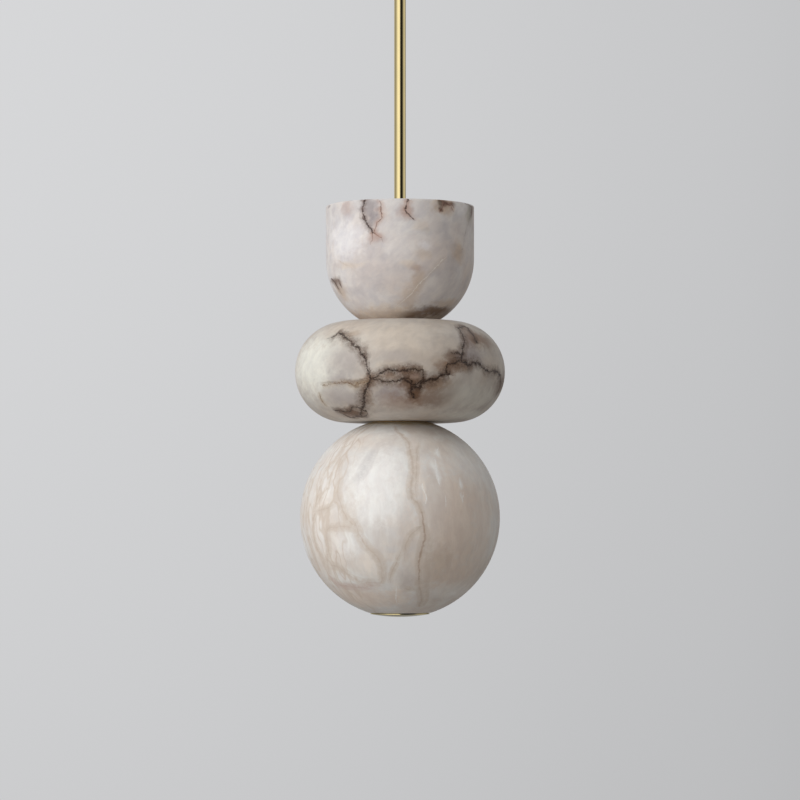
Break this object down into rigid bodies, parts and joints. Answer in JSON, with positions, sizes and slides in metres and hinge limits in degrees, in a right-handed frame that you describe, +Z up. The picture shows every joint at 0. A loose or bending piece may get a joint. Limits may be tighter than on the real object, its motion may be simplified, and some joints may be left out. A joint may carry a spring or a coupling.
{
  "type": "pendant light",
  "caption": "Ceiling pendant of stacked alabaster: an open bowl, a rounded disc and a globe, hung on a brass stem from a ball swivel and a round canopy.",
  "frame": {"origin": "middle of the ceiling plate's upper face, halfway between its two screw slots", "axes": "+Z up along the stem towards the ceiling, +X through the two screw slots, +Y towards the driver"},
  "size_m": [0.18, 0.1798, 0.6622],
  "materials": {
    "alabaster": "satin",
    "polished_brass": "polished",
    "plain_brass": "satin",
    "zinc_steel": "satin",
    "core_aluminium": "satin",
    "circuit_board": "satin",
    "opal_plastic": "satin",
    "driver_plastic": "matte",
    "terminal_plastic": "satin",
    "rubber": "matte",
    "felt": "matte"
  },
  "bodies": {
    "ceiling_mount": {"ceiling_plate": "zinc_steel", "cable_bush": "rubber", "terminal_block": "terminal_plastic", "terminal_barrels": "plain_brass", "terminal_screws": "zinc_steel", "led_driver": "driver_plastic", "driver_screws": "zinc_steel", "canopy": "polished_brass", "canopy_screws": "polished_brass", "swivel_spindle": "plain_brass", "spindle_nuts": "zinc_steel"},
    "swivel": {"swivel_cap": "polished_brass", "swivel_socket": "polished_brass"},
    "hanging_lamp": {"ball_stud": "polished_brass", "stem_grub_screw": "zinc_steel", "stem_tube": "polished_brass", "stem_coupler": "polished_brass", "threaded_tube": "zinc_steel", "bowl_felt": "felt", "clamp_plate": "zinc_steel", "clamp_nut": "zinc_steel", "uplight_board": "circuit_board", "uplight_diffuser": "opal_plastic", "alabaster_bowl": "alabaster", "alabaster_disc": "alabaster", "alabaster_globe": "alabaster", "upper_centring_plate": "zinc_steel", "lower_centring_plate": "zinc_steel", "upper_gasket": "rubber", "lower_gasket": "rubber", "bottom_plate": "polished_brass", "bottom_felt": "felt", "disc_core": "core_aluminium", "globe_core": "core_aluminium", "core_nuts": "zinc_steel", "disc_boards": "circuit_board", "globe_boards": "circuit_board"}
  },
  "joints": [
    {"name": "swivel_turn", "type": "hinge", "parent": "ceiling_mount", "child": "swivel", "pos_m": [0, 0, -0.0527], "axis": [0, 0, 1], "range_deg": [-170, 170]},
    {"name": "stem_tilt", "type": "hinge", "parent": "swivel", "child": "hanging_lamp", "pos_m": [0, 0, -0.0527], "axis": [0, 1, 0], "range_deg": [-45, 45]}
  ]
}
